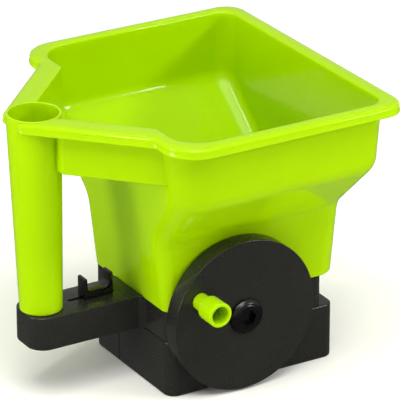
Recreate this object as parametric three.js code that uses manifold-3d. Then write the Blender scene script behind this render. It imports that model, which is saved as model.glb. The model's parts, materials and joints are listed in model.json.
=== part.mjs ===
// Hand-held garden spreader: an open hopper with a tubular handle stands on a base that holds
// the crank drum, the gear train, the spinner and the sliding flow gate.
// Millimetres. +X is the throwing direction, +Y is left, +Z is up, and the floor is z = 0.
// The origin is the centre of the base's underside.
import * as THREE from "three";
import { mergeVertices } from "three/addons/utils/BufferGeometryUtils.js";
import Module from "manifold-3d";

const wasm = await Module();
wasm.setup();

// ---------------------------------------------------------------- driving dimensions
const GAP = 0.3; // between pieces that touch
const WALL = 2.4; // moulded wall thickness

const RIM = { front: 82, rear: -90, half: 110, top: 203, height: 8, corner: 16, rearCorner: 24 };
const RIM_EDGE = { drop: 2, inset: 2.4 }; // the rim's chamfered top edge
const APEX = { x: -152.5, half: 12.3, shoulder: 78, corner: 4, notch: 7 };
const BROW = { bottom: 166.2, rear: -128.8, front: -78, inset: 13, corner: 4.5, tray: -127 };
const MOUTH = { rear: -79, shoulder: 64.7, past: -60 };

const HANDLE = { topX: -135.8, topR: 18.4, footX: -133.1, footR: 14.4, foot: 63.4, wall: 2.4 };
const CUP = { floor: 80, web: 2.5, wall: 1.8 };

const NECK = { bottom: 61.65, rear: -66, front: 69, half: 50, rearCorner: 6, frontCorner: 17 };
const FUNNEL = { top: 84, rear: -67, front: 70, half: 51, rearCorner: 9, frontCorner: 15 };
const PORT = { x: -25, length: 10, half: 12, room: 1 };

const BOX = { rear: -65, front: 65, half: 51, corner: 8, top: 39.5, deck: 2.5, wall: 2.5, edge: 1.2 };
const WELL = { rear: -58, front: 48, half: 44 }; // the opening in the box's deck
const OUTLET = { half: 38, low: 7, high: 33, corner: 5 };
const DECK = { bottom: 39.8, top: 61.35, front: 56, plate: 2.5 };
const ARM = { end: -147, half: 17.7, corner: 12, bottom: 40.7, top: 63.1, root: -58 };
const PLUG = { r: 11.4, top: 75, column: 5, columnFoot: 8 };
const SLOT = { rear: -113.2, front: -78, half: 1.6, end: 1.4 };

const DRUM = { x: -14.75, z: 55.1, r: 53.45, back: 52.3, face: 65.3, plate: 2.5, rim: 2.4, pin: 3.2 };
const AXLE = { boss: 8, bossEnd: 36, insert: 5.5, insertEnd: 37, bolt: 4, bush: 6.3, bore: 4.3 };
const BOLT_HEAD = { r: 12.2, height: 4.2, hex: 9.7, hexDepth: 3.6 };
const MODULE = 1.5; // of the ring gear and its pinion
const RING_TEETH = 60;
const PINION_TEETH = 12;
const MESH_ANGLE = -Math.PI / 3; // from the drum's axis to the pinion's, +X towards +Z
const BEVEL = { teeth: 16, r: 8, tip: 0.9, root: 1.2, small: 0.55, rootWidth: 1.55, tipWidth: 0.75 };
const KNOB = { dx: -35.0, dz: 19.0, neck: 6, r: 8.5, bore: 6.1, seat: 77.6, end: 91.5 };

const SPINNER = { r: 38, plate: 7.8, thick: 2, vane: 14.8, vaneHalf: 0.9, hub: 6, blades: 6 };
const SHAFT = { lay: 3, spinner: 2.5, fit: 0.3 };
const BUSH = { layR: 5, spinnerR: 4.5, room: 0.3 };
const CARRIER = { half: 13, end: 14, low: 15.5, high: 36.5, wall: 2, web: -17, webWall: 4, tower: 39.5 };
const TOWER = { r: 7, depth: 6 };
const GATE = { low: 56.25, high: 58.25, front: -19, rear: -52, half: 19, bar: 6, tail: -108 };
const TONGUE = { rear: -98, front: -88, half: 1.2, top: 66 };
const GUIDE = { rear: -42, front: -8, half: 27, base: 2.35, end: 3 };
const SLIDER = { rearTab: -101.7, frontTab: -82.3, tab: 2.6, half: 4.6, top: 78, web: 68.8 };

// Screw places [x, y], and the radii of the holes that their shanks run in.
const hopperScrews = [[-54, -38], [-54, 38], [46, -38], [46, 38]];
const coverScrews = [[-57, -43], [-57, 43], [57, -43], [57, 43]];
const guideScrews = [[-25, -23.5], [-25, 23.5]];
const PILOT = { hopper: 2.2, cover: 1.9, guide: 1.8, carrier: 1.8 };
const POST = { hopper: 4, cover: 4.5 };
const COUNTERBORE = { cover: 3.5, coverDepth: 1.6, carrier: 2.9, carrierDepth: 1.6 };
const CARRIER_SCREW = { spread: 8.5, z: 33 };

const ringPitch = (MODULE * RING_TEETH) / 2;
const pinionPitch = (MODULE * PINION_TEETH) / 2;
const centreDistance = ringPitch - pinionPitch;
const layX = DRUM.x + centreDistance * Math.cos(MESH_ANGLE);
const layZ = DRUM.z + centreDistance * Math.sin(MESH_ANGLE);
const carrierScrews = [layX - CARRIER_SCREW.spread, layX + CARRIER_SCREW.spread];

// ---------------------------------------------------------------- materials
function plastic(colour, roughness) {
  return new THREE.MeshStandardMaterial({ color: colour, roughness, metalness: 0 });
}

function metal(colour, roughness) {
  return new THREE.MeshStandardMaterial({ color: colour, roughness, metalness: 1 });
}

const green = plastic(0xb4e016, 0.35);
const black = plastic(0x2b2b29, 0.5);
const glossBlack = plastic(0x151515, 0.2);
const natural = plastic(0xe8e6dc, 0.45);
const steel = metal(0xb8b8b8, 0.35);
const blackSteel = metal(0x222222, 0.3);
const brass = metal(0xc8a048, 0.35);

// ---------------------------------------------------------------- solids
function toSolid(geometry) {
  const bare = geometry.index ? geometry.toNonIndexed() : geometry.clone();
  bare.deleteAttribute("normal");
  bare.deleteAttribute("uv");
  const merged = mergeVertices(bare, 1e-4);
  return new wasm.Manifold(
    new wasm.Mesh({
      numProp: 3,
      vertProperties: merged.attributes.position.array,
      triVerts: new Uint32Array(merged.index.array),
    }),
  );
}

function toGeometry(solid) {
  const mesh = solid.getMesh();
  const geometry = new THREE.BufferGeometry();
  geometry.setAttribute("position", new THREE.BufferAttribute(mesh.vertProperties, 3));
  geometry.setIndex(new THREE.BufferAttribute(mesh.triVerts, 1));
  geometry.computeVertexNormals();
  return geometry;
}

// A closed outline with rounded corners. Each corner is [x, y, radius].
function outline(corners, steps = 6) {
  const points = [];
  corners.forEach(([x, y, radius], i) => {
    const before = corners[(i + corners.length - 1) % corners.length];
    const after = corners[(i + 1) % corners.length];
    const here = new THREE.Vector2(x, y);
    if (radius <= 0) {
      points.push(here);
      return;
    }
    const toBefore = new THREE.Vector2(before[0], before[1]).sub(here).normalize();
    const toAfter = new THREE.Vector2(after[0], after[1]).sub(here).normalize();
    const half = Math.acos(THREE.MathUtils.clamp(toBefore.dot(toAfter), -1, 1)) / 2;
    const centre = toBefore
      .clone()
      .add(toAfter)
      .normalize()
      .multiplyScalar(radius / Math.sin(half))
      .add(here);
    const reach = radius / Math.tan(half);
    const start = here.clone().addScaledVector(toBefore, reach).sub(centre);
    const end = here.clone().addScaledVector(toAfter, reach).sub(centre);
    const from = start.angle();
    let sweep = end.angle() - from;
    if (sweep > Math.PI) sweep -= 2 * Math.PI;
    if (sweep < -Math.PI) sweep += 2 * Math.PI;
    for (let k = 0; k <= steps; k += 1) {
      const angle = from + (sweep * k) / steps;
      points.push(
        new THREE.Vector2(
          centre.x + radius * Math.cos(angle),
          centre.y + radius * Math.sin(angle),
        ),
      );
    }
  });
  return points;
}

// An anticlockwise rectangle, with one radius for its rear corners and one for its front ones.
function rectangle(rear, front, half, rearCorner, frontCorner = rearCorner, steps = 6) {
  return outline(
    [
      [rear, -half, rearCorner],
      [front, -half, frontCorner],
      [front, half, frontCorner],
      [rear, half, rearCorner],
    ],
    steps,
  );
}

function circle(r, segments) {
  const points = [];
  for (let i = 0; i < segments; i += 1) {
    const angle = (2 * Math.PI * i) / segments;
    points.push(new THREE.Vector2(r * Math.cos(angle), r * Math.sin(angle)));
  }
  return points;
}

function extrude(points, low, high) {
  const shape = new THREE.Shape(points);
  const geometry = new THREE.ExtrudeGeometry(shape, {
    depth: high - low,
    bevelEnabled: false,
  });
  return toSolid(geometry.translate(0, 0, low));
}

// A solid through a stack of outlines that all have the same number of points.
function loft(levels) {
  const count = levels[0].points.length;
  const position = [];
  levels.forEach(({ points, z }) => points.forEach((p) => position.push(p.x, p.y, z)));
  const index = [];
  for (let level = 0; level + 1 < levels.length; level += 1) {
    for (let i = 0; i < count; i += 1) {
      const j = (i + 1) % count;
      const a = level * count + i;
      const b = level * count + j;
      index.push(a, b, b + count, a, b + count, a + count);
    }
  }
  const top = (levels.length - 1) * count;
  THREE.ShapeUtils.triangulateShape(levels[0].points, []).forEach(([a, b, c]) => {
    index.push(c, b, a);
  });
  THREE.ShapeUtils.triangulateShape(levels.at(-1).points, []).forEach(([a, b, c]) => {
    index.push(top + a, top + b, top + c);
  });
  const geometry = new THREE.BufferGeometry();
  geometry.setAttribute("position", new THREE.Float32BufferAttribute(position, 3));
  geometry.setIndex(index);
  return toSolid(geometry);
}

// A solid turned about Z. The profile is [radius, z] pairs, from the lowest to the highest.
function turned(profile, segments = 32) {
  const points = profile.map(([r, z]) => new THREE.Vector2(r, z));
  const geometry = new THREE.LatheGeometry(points, segments);
  return toSolid(geometry.rotateX(Math.PI / 2));
}

function cylinder(r, low, high, segments = 32) {
  return turned([[0, low], [r, low], [r, high], [0, high]], segments);
}

function tube(outer, inner, low, high, segments = 32) {
  return cylinder(outer, low, high, segments).subtract(
    cylinder(inner, low - 1, high + 1, segments),
  );
}

function slab(x0, x1, y0, y1, z0, z1) {
  const geometry = new THREE.BoxGeometry(x1 - x0, y1 - y0, z1 - z0);
  return toSolid(geometry.translate((x0 + x1) / 2, (y0 + y1) / 2, (z0 + z1) / 2));
}

// Turns a solid made about Z so that its Z lies along -Y, and puts it on the axis (x, z).
function alongSide(solid, x, z) {
  return solid.rotate([90, 0, 0]).translate([x, 0, z]);
}

// ---------------------------------------------------------------- gears
// A tooth is a trapezium: wide at its root, narrow at its tip. Tooth 0 is centred on angle 0.
function gearOutline(teeth, root, tip, rootWidth, tipWidth, turn = 0) {
  const points = [];
  for (let i = 0; i < teeth; i += 1) {
    const middle = turn + (2 * Math.PI * i) / teeth;
    const atRoot = rootWidth / 2 / root;
    const atTip = tipWidth / 2 / tip;
    [
      [root, middle - atRoot],
      [tip, middle - atTip],
      [tip, middle + atTip],
      [root, middle + atRoot],
    ].forEach(([r, angle]) => {
      points.push(new THREE.Vector2(r * Math.cos(angle), r * Math.sin(angle)));
    });
  }
  return points;
}

// A straight bevel gear about Z whose cone's apex is the origin. Its large end is at z = -r.
function bevelGear(turn, bore) {
  const { teeth, r, tip, root, small, rootWidth, tipWidth } = BEVEL;
  const large = gearOutline(teeth, r - root, r + tip, rootWidth, tipWidth, turn);
  const body = loft([
    { points: large, z: -r },
    { points: large.map((p) => p.clone().multiplyScalar(small)), z: -r * small },
  ]);
  return body.subtract(cylinder(bore, -r - 1, 1, 20));
}

// ---------------------------------------------------------------- hopper and handle
const rimCorners = [
  [RIM.front, -RIM.half, RIM.corner],
  [RIM.front, RIM.half, RIM.corner],
  [RIM.rear, RIM.half, RIM.rearCorner],
  [RIM.rear, APEX.shoulder, APEX.notch],
  [APEX.x, APEX.half, APEX.corner],
  [APEX.x, -APEX.half, APEX.corner],
  [RIM.rear, -APEX.shoulder, APEX.notch],
  [RIM.rear, -RIM.half, RIM.rearCorner],
];

// The tub's outside, from its foot to the underside of its rim. r and f are the radii of its
// rear and front corners.
const underRim = RIM.top - RIM.height;
const { rear: neckRear, front: neckFront, half: neckHalf, rearCorner, frontCorner } = NECK;
const tubLevels = [
  { z: NECK.bottom, rear: neckRear, front: neckFront, half: neckHalf, r: rearCorner, f: frontCorner },
  { z: 108, rear: -72, front: 72.2, half: 51.4, r: 11, f: 15 },
  { z: 112, rear: -72.6, front: 72.2, half: 52.6, r: 12, f: 15 },
  { z: 117, rear: -73.4, front: 72, half: 56.2, r: 16, f: 15 },
  { z: 122, rear: -74.2, front: 71.9, half: 61.6, r: 19, f: 15 },
  { z: 151, rear: -79, front: 71, half: 93, r: 24, f: 16 },
  { z: 156, rear: -80, front: 70.8, half: 97, r: 25, f: 15 },
  { z: 162, rear: -81, front: 71, half: 98.8, r: 25, f: 15 },
  { z: underRim + 1, rear: -82.5, front: 72.5, half: 101.4, r: 26, f: 15 },
];

function tub(inset) {
  return tubLevels.map(({ z, rear, front, half, r, f }) => ({
    z,
    points: rectangle(rear + inset, front - inset, half - inset, r - inset, f - inset),
  }));
}

const obliqueSlope = (APEX.shoulder - APEX.half) / (RIM.rear - APEX.x);

// The handle's circle at a height. It tapers, and its axis leans forward as it goes down.
function handleRing(z, inset, steps = 32) {
  const t = (z - HANDLE.foot) / (RIM.top - HANDLE.foot);
  const r = THREE.MathUtils.lerp(HANDLE.footR, HANDLE.topR, t) - inset;
  const x = THREE.MathUtils.lerp(HANDLE.footX, HANDLE.topX, t);
  return { z, points: circle(r, steps).map((p) => p.add(new THREE.Vector2(x, 0))) };
}

// The brow is the shallow triangular tray that joins the tub to the handle.
function brow() {
  const halfAt = (x) => APEX.half + (x - APEX.x) * obliqueSlope - BROW.inset;
  const corners = [
    [BROW.rear, -halfAt(BROW.rear), BROW.corner],
    [BROW.front, -halfAt(BROW.front), 0],
    [BROW.front, halfAt(BROW.front), 0],
    [BROW.rear, halfAt(BROW.rear), BROW.corner],
  ];
  return extrude(outline(corners), BROW.bottom, underRim + 1);
}

// The tray runs back until its sides meet the handle's wall.
function tray() {
  const rearHalf = MOUTH.shoulder - (MOUTH.rear - BROW.tray) * obliqueSlope;
  const corners = [
    new THREE.Vector2(BROW.tray, -rearHalf),
    new THREE.Vector2(MOUTH.rear, -MOUTH.shoulder),
    new THREE.Vector2(MOUTH.past, -MOUTH.shoulder),
    new THREE.Vector2(MOUTH.past, MOUTH.shoulder),
    new THREE.Vector2(MOUTH.rear, MOUTH.shoulder),
    new THREE.Vector2(BROW.tray, rearHalf),
  ];
  return extrude(corners, BROW.bottom + WALL, RIM.top + 1);
}

function port(grow) {
  const { x, length, half, room } = PORT;
  return rectangle(x - length / 2 - grow, x + length / 2 + grow, half + grow, room + grow / 2);
}

function funnelOutline() {
  const { rear, front, half, rearCorner, frontCorner } = FUNNEL;
  return rectangle(rear, front, half, rearCorner, frontCorner);
}

function hopper() {
  const rimTop = rimCorners.map(([x, y, r]) => insetCorner(x, y, r, RIM_EDGE.inset));
  const rim = loft([
    { z: underRim, points: outline(rimCorners) },
    { z: RIM.top - RIM_EDGE.drop, points: outline(rimCorners) },
    { z: RIM.top, points: outline(rimTop) },
  ]);
  const handle = loft([handleRing(HANDLE.foot, 0), handleRing(RIM.top, 0)]);
  let body = loft(tub(0)).add(rim).add(brow()).subtract(tray()).add(handle);

  // The tub's inside ends in a sloping floor that leads to the port.
  const inside = tub(WALL).filter(({ z }) => z > FUNNEL.top + 1);
  const neckInside = tub(WALL)[0].points;
  const cavity = loft([
    { z: NECK.bottom - 1, points: port(0) },
    { z: NECK.bottom + 3, points: port(0) },
    { z: FUNNEL.top, points: neckInside },
    ...inside,
    { z: RIM.top + 1, points: inside.at(-1).points },
  ]);
  const skirt = extrude(neckInside, NECK.bottom - 1, FUNNEL.top - 1);
  const floorBody = loft([
    { z: NECK.bottom - WALL, points: port(WALL) },
    { z: NECK.bottom, points: port(WALL) },
    { z: FUNNEL.top - 1.5, points: funnelOutline() },
    { z: FUNNEL.top + WALL, points: funnelOutline() },
  ]);
  body = body.subtract(cavity).subtract(skirt.subtract(floorBody));
  hopperScrews.forEach(([x, y]) => {
    const post = cylinder(POST.hopper, NECK.bottom, FUNNEL.top + 4, 16).translate([x, y, 0]);
    const pilot = cylinder(PILOT.hopper, NECK.bottom - 1, NECK.bottom + 12, 16);
    body = body.add(post.subtract(cavity)).subtract(pilot.translate([x, y, 0]));
  });

  // The handle is a tube: a cup above, and below its web a socket for the foot's plug.
  const cup = loft([handleRing(CUP.floor, HANDLE.wall), handleRing(RIM.top + 1, CUP.wall)]);
  const webUnder = CUP.floor - CUP.web;
  const socket = loft([
    handleRing(HANDLE.foot - 1, HANDLE.wall),
    handleRing(webUnder, HANDLE.wall),
  ]);
  const pilot = cylinder(PILOT.hopper, webUnder - 1, CUP.floor + 1, 16);
  return body.subtract(cup).subtract(socket).subtract(pilot.translate([HANDLE.footX, 0, 0]));
}

// Moves a rim corner in towards the middle of the rim.
function insetCorner(x, y, radius, inset) {
  const slant = Math.abs(y) < RIM.half ? 0.6 : 1;
  const inX = x > 0 ? -inset : inset;
  const inY = -Math.sign(y) * inset * slant;
  const concave = radius === APEX.notch;
  return [x + inX, y + inY, concave ? radius + inset : radius - inset];
}

// ---------------------------------------------------------------- base
function platform() {
  const { rear, half, corner, wall } = BOX;
  const box = extrude(rectangle(rear, DECK.front, half, corner), DECK.bottom, DECK.top);
  const arm = extrude(rectangle(ARM.end, ARM.root, ARM.half, ARM.corner, 0), ARM.bottom, ARM.top);
  const overDeck = slab(NECK.rear - 0.7, 0, -half, half, DECK.top, ARM.top + 1);
  const inside = extrude(
    rectangle(rear + wall, DECK.front - wall, half - wall, corner - wall),
    DECK.bottom - 1,
    DECK.top - DECK.plate,
  );
  const armInside = extrude(
    rectangle(ARM.end + wall, rear, ARM.half - wall, ARM.corner - wall, 0),
    ARM.bottom - 1,
    ARM.top - wall,
  );
  let body = box.add(arm.subtract(overDeck)).subtract(inside).subtract(armInside);

  // The boss that holds the drum's axle, and the hole for its insert.
  const boss = alongSide(cylinder(AXLE.boss, AXLE.bossEnd, half - 0.5), DRUM.x, DRUM.z);
  const { x } = DRUM;
  const overBoss = slab(x - AXLE.boss - 1, x + AXLE.boss + 1, -half, 0, DECK.top, DRUM.z + half);
  body = body.add(boss.subtract(overBoss));
  body = body.subtract(
    alongSide(cylinder(AXLE.insert + GAP, AXLE.bossEnd - 1, half + 1), DRUM.x, DRUM.z),
  );

  // The plug in the handle's end, and the column under it for the screw.
  const plug = cylinder(PLUG.r, ARM.top - 1, PLUG.top);
  const column = cylinder(PLUG.column, ARM.top - PLUG.columnFoot, ARM.top - 1, 24);
  const screwHole = cylinder(PILOT.hopper, ARM.bottom, PLUG.top + 1, 16);
  body = body.add(plug.add(column).translate([HANDLE.footX, 0, 0]));
  body = body.subtract(screwHole.translate([HANDLE.footX, 0, 0]));

  // The port, the slider's slot, and the window that lets the gate's bar into the arm.
  const portHalf = PORT.half + PORT.room;
  const portReach = PORT.length / 2 + PORT.room;
  const deckUnder = DECK.top - DECK.plate;
  body = body.subtract(
    slab(PORT.x - portReach, PORT.x + portReach, -portHalf, portHalf, deckUnder - 1, DECK.top + 1),
  );
  const slot = rectangle(SLOT.rear, SLOT.front, SLOT.half, SLOT.end);
  body = body.subtract(extrude(slot, ARM.top - wall - 1, ARM.top + 1));
  const barHalf = GATE.bar + 2;
  body = body.subtract(slab(rear - 2, rear + wall + 1, -barHalf, barHalf, GATE.low - 3, deckUnder));
  hopperScrews.forEach(([sx, sy]) => {
    body = body.subtract(cylinder(PILOT.hopper, deckUnder - 1, DECK.top + 1, 16).translate([sx, sy, 0]));
  });
  guideScrews.forEach(([sx, sy]) => {
    body = body.subtract(cylinder(PILOT.guide, deckUnder - 1, DECK.top - 0.5, 12).translate([sx, sy, 0]));
  });
  return body;
}

function baseBox() {
  const { rear, front, half, corner, top, deck, wall, edge } = BOX;
  const full = rectangle(rear, front, half, corner);
  const eased = rectangle(rear + edge, front - edge, half - edge, corner - edge);
  const shell = loft([
    { z: 0, points: eased },
    { z: edge, points: full },
    { z: top - edge, points: full },
    { z: top, points: eased },
  ]);
  const inside = extrude(
    rectangle(rear + wall, front - wall, half - wall, corner - wall),
    -1,
    top - deck,
  );
  let body = shell.subtract(inside);
  coverScrews.forEach(([x, y]) => {
    const r = POST.cover;
    const post = slab(x - r, x + r, y - r, y + r, BOX.deck + GAP, top - deck + 0.5);
    const pilot = cylinder(PILOT.cover, 2, 20, 12).translate([x, y, 0]);
    body = body.add(post).subtract(pilot);
  });
  body = body.subtract(slab(WELL.rear, WELL.front, -WELL.half, WELL.half, top - deck - 1, top + 1));
  const mouth = extrude(
    rectangle(OUTLET.low, OUTLET.high, OUTLET.half, OUTLET.corner),
    front - 15,
    front + 5,
  );
  body = body.subtract(mouth.rotate([0, 90, 0]).scale([1, 1, -1]));
  body = body.subtract(alongSide(cylinder(BUSH.layR + GAP, 40, half + 5, 24), layX, layZ));
  const { carrier, carrierDepth } = COUNTERBORE;
  carrierScrews.forEach((x) => {
    const hole = cylinder(PILOT.carrier, 40, half + 5, 12);
    const sink = cylinder(carrier, half - carrierDepth, half + 5, 16);
    body = body.subtract(alongSide(hole.add(sink), x, CARRIER_SCREW.z));
  });
  return body;
}

function bottomCover() {
  const { rear, front, half, corner, wall, deck } = BOX;
  const inset = wall + GAP;
  const plate = rectangle(rear + inset, front - inset, half - inset, corner - inset);
  let body = extrude(plate, 0, deck);
  body = body.add(cylinder(TOWER.r, 1, 6.5, 24).translate([layX, 0, 0]));
  body = body.subtract(cylinder(BUSH.spinnerR + GAP, 2, 10, 24).translate([layX, 0, 0]));
  coverScrews.forEach(([x, y]) => {
    const hole = cylinder(PILOT.cover, -1, 5, 12);
    const sink = cylinder(COUNTERBORE.cover, -1, COUNTERBORE.coverDepth, 16);
    body = body.subtract(hole.add(sink).translate([x, y, 0]));
  });
  return body;
}

// The bracket behind the box's side wall that carries both shafts' inner bearings.
function gearCarrier() {
  const { half, end, low, high, wall, web, webWall, tower } = CARRIER;
  const near = -(BOX.half - BOX.wall - GAP);
  let body = slab(layX - half, layX + half, near, end, low, high);
  const room = (y0, y1) =>
    slab(layX - half + wall, layX + half - wall, y0, y1, low - 1, high - wall);
  body = body.subtract(room(near + wall, web)).subtract(room(web + webWall, end - wall));
  const bearing = cylinder(TOWER.r, tower - TOWER.depth, tower, 24);
  const spinnerBore = cylinder(BUSH.spinnerR + GAP, low, tower - 1, 24);
  body = body.add(bearing.translate([layX, 0, 0]));
  body = body.subtract(spinnerBore.translate([layX, 0, 0]));
  const layBore = cylinder(BUSH.layR + GAP, -web - webWall - 1, BOX.half, 24);
  body = body.subtract(alongSide(layBore, layX, layZ));
  carrierScrews.forEach((x) => {
    const pilot = cylinder(PILOT.carrier, 40, BOX.half, 12);
    body = body.subtract(alongSide(pilot, x, CARRIER_SCREW.z));
  });
  return body;
}

function gateGuide() {
  const { rear, front, half, base, end } = GUIDE;
  const { low } = GATE;
  const top = DECK.top - DECK.plate - GAP;
  const channel = GATE.half + 0.4;
  let body = slab(rear, front, -half, half, low - GAP - base, top);
  body = body.subtract(slab(rear - 1, front - end, -channel, channel, low - GAP, top + 1));
  const portHalf = PORT.half + 3;
  const portReach = PORT.length / 2 + 2;
  body = body.subtract(
    slab(PORT.x - portReach, PORT.x + portReach, -portHalf, portHalf, low - base - 1, top + 1),
  );
  guideScrews.forEach(([x, y]) => {
    body = body.subtract(cylinder(PILOT.guide, low - 5, top + 1, 12).translate([x, y, 0]));
  });
  return body;
}

function gateSlide() {
  const { low, high, front, rear, half, bar, tail } = GATE;
  const plate = slab(rear, front, -half, half, low, high);
  const link = slab(tail, rear + 1, -bar, bar, low, high);
  const tongue = slab(TONGUE.rear, TONGUE.front, -TONGUE.half, TONGUE.half, high - 0.5, TONGUE.top);
  return plate.add(link).add(tongue);
}

function flowSlider() {
  const { rearTab, frontTab, tab, half, top, web } = SLIDER;
  const low = ARM.top + GAP;
  const side = outline(
    [
      [rearTab - tab / 2, low, 0.4],
      [frontTab + tab / 2, low, 0.4],
      [frontTab + tab / 2, top + 1, 1],
      [frontTab - tab / 2, top + 1, 1],
      [frontTab - tab / 2 - 0.4, web, 5],
      [rearTab + tab / 2 + 0.4, web, 2],
      [rearTab + tab / 2, top, 1],
      [rearTab - tab / 2, top, 1],
    ],
    4,
  );
  const body = extrude(side, -half, half).rotate([90, 0, 0]);
  const socketHalf = TONGUE.half + GAP;
  const socketTop = TONGUE.top + GAP;
  return body.subtract(
    slab(TONGUE.rear - GAP, TONGUE.front + GAP, -socketHalf, socketHalf, low - 1, socketTop),
  );
}

// ---------------------------------------------------------------- crank drum (about its own Z)
function crankDrum() {
  const { r, back, face, plate, rim, pin } = DRUM;
  const inner = ringPitch + rim;
  const shell = turned(
    [
      [0, face - plate],
      [inner, face - plate],
      [inner, back],
      [r - 0.8, back],
      [r, back + 0.8],
      [r, face - 1],
      [r - 1, face],
      [0, face],
    ],
    64,
  );
  const teeth = gearOutline(RING_TEETH, ringPitch - 1.35, ringPitch + 1.7, 3.4, 2.05);
  const ring = extrude(circle(inner + 1, 64), back + 0.6, face - plate - 1.9);
  const hub = cylinder(AXLE.bush + 3.2, back + 2, face - 1);
  const bore = cylinder(AXLE.bush + GAP, back - 1, face + 1);
  const pinHole = cylinder(pin, back - 1, face + 1, 20).translate([KNOB.dx, KNOB.dz, 0]);
  return shell
    .add(ring.subtract(extrude(teeth, back - 1, face)))
    .add(hub)
    .subtract(bore)
    .subtract(pinHole);
}

function crankKnob() {
  const { neck, r, bore, seat, end } = KNOB;
  const low = DRUM.face + GAP;
  const shoulder = low + 9;
  const outside = turned(
    [
      [0, low],
      [neck - 0.4, low],
      [neck, low + 0.4],
      [neck, shoulder],
      [r - 0.5, shoulder + 1.6],
      [r, shoulder + 2.6],
      [r, end - 0.8],
      [r - 0.8, end],
      [0, end],
    ],
    40,
  );
  return outside
    .subtract(cylinder(bore, seat, end + 1, 40))
    .subtract(cylinder(DRUM.pin, low - 1, seat + 1, 20));
}

function knobPin() {
  const shank = cylinder(DRUM.pin - GAP, 60.9, KNOB.seat + 1, 20);
  const head = cylinder(KNOB.bore - 0.9, KNOB.seat + GAP, KNOB.seat + 2.3, 24);
  return shank.add(head);
}

function axleBolt() {
  const low = DRUM.face + GAP;
  const { r, height, hex, hexDepth } = BOLT_HEAD;
  const body = turned(
    [
      [0, AXLE.insertEnd],
      [AXLE.bolt, AXLE.insertEnd],
      [AXLE.bolt, low],
      [r, low],
      [r, low + height / 3],
      [r - 0.6, low + height * 0.67],
      [r - 2, low + height * 0.9],
      [0, low + height],
    ],
    40,
  );
  return body.subtract(cylinder(hex / Math.sqrt(3), low + height - hexDepth, low + height + 1, 6));
}

// A pan-head screw about Z: its head's underside is z = 0, and its shank points up.
function screw(headR, headHeight, shankR, length) {
  const body = turned(
    [
      [0, -headHeight],
      [headR, -headHeight],
      [headR, 0],
      [shankR, 0],
      [shankR, length],
      [0, length],
    ],
    12,
  );
  const slot = headR * 1.2;
  return body.subtract(
    slab(-slot / 2, slot / 2, -0.4, 0.4, -headHeight - 1, -headHeight + 0.6),
  );
}

// ---------------------------------------------------------------- spinner (about its own Z)
function spinner() {
  const { r, plate, thick, vane, vaneHalf, hub, blades } = SPINNER;
  let body = cylinder(r, plate, plate + thick, 48);
  body = body.add(cylinder(hub, plate - 0.3, vane, 24));
  for (let i = 0; i < blades; i += 1) {
    const blade = slab(hub - 1, r - 1, -vaneHalf, vaneHalf, plate + thick - 0.2, vane);
    body = body.add(blade.rotate([0, 0, (360 * (i + 0.25)) / blades]));
  }
  return body.subtract(cylinder(SHAFT.spinner + SHAFT.fit, 0, vane + 1, 20));
}

function drivePinion() {
  const teeth = gearOutline(
    PINION_TEETH,
    pinionPitch - 1.75,
    pinionPitch + 1.35,
    2.7,
    1.3,
    MESH_ANGLE,
  );
  const bore = cylinder(SHAFT.lay + SHAFT.fit, 50, 65, 20);
  return extrude(teeth, DRUM.back + 1.5, DRUM.back + 7.9).subtract(bore);
}

// ---------------------------------------------------------------- assembly
const spreader = new THREE.Group();

function add(parent, name, solid, material) {
  const mesh = new THREE.Mesh(toGeometry(solid), material);
  mesh.name = name;
  parent.add(mesh);
  return mesh;
}

add(spreader, "hopper", hopper(), green);
add(spreader, "platform_arm", platform(), black);
add(spreader, "base_box", baseBox(), black);
add(spreader, "bottom_cover", bottomCover(), black);
add(spreader, "gear_carrier", gearCarrier(), black);
add(spreader, "gate_guide", gateGuide(), black);
add(spreader, "gate_slide", gateSlide(), black);
add(spreader, "flow_slider", flowSlider(), glossBlack);

// Everything on the drum's axle, with local z pointing out of the side.
const axle = new THREE.Group();
axle.position.set(DRUM.x, 0, DRUM.z);
axle.rotation.x = Math.PI / 2;
spreader.add(axle);
const { bush, insert, insertEnd, bore: axleBore } = AXLE;
add(axle, "crank_drum", crankDrum(), black);
add(axle, "drum_bush", tube(bush, axleBore, BOX.half + GAP, DRUM.face), natural);
add(axle, "axle_insert", tube(insert, axleBore, insertEnd, BOX.half - GAP, 24), brass);
add(axle, "axle_bolt", axleBolt(), blackSteel);

const crank = new THREE.Group();
crank.position.set(KNOB.dx, KNOB.dz, 0);
axle.add(crank);
add(crank, "crank_knob", crankKnob(), green);
add(crank, "knob_pin", knobPin(), steel);
add(crank, "knob_clip", tube(5.4, DRUM.pin, 61.3, 62.5, 24), steel);

// The lay shaft carries the pinion inside the drum and a bevel gear under the hopper.
const layLine = new THREE.Group();
layLine.position.set(layX, 0, layZ);
layLine.rotation.x = Math.PI / 2;
spreader.add(layLine);
const layBevel = bevelGear(-Math.PI / 2, SHAFT.lay + SHAFT.fit).rotate([180, 0, 0]);
const layBushBore = SHAFT.lay + BUSH.room;
add(layLine, "lay_shaft", cylinder(SHAFT.lay, 4.8, DRUM.back + 8, 20), steel);
add(layLine, "drive_pinion", drivePinion(), natural);
add(layLine, "lay_bevel", layBevel, natural);
add(layLine, "lay_bush_outer", tube(BUSH.layR, layBushBore, 45.5, BOX.half + 1, 24), brass);
add(layLine, "lay_bush_inner", tube(BUSH.layR, layBushBore, 12.8, 17.2, 24), brass);

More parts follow.
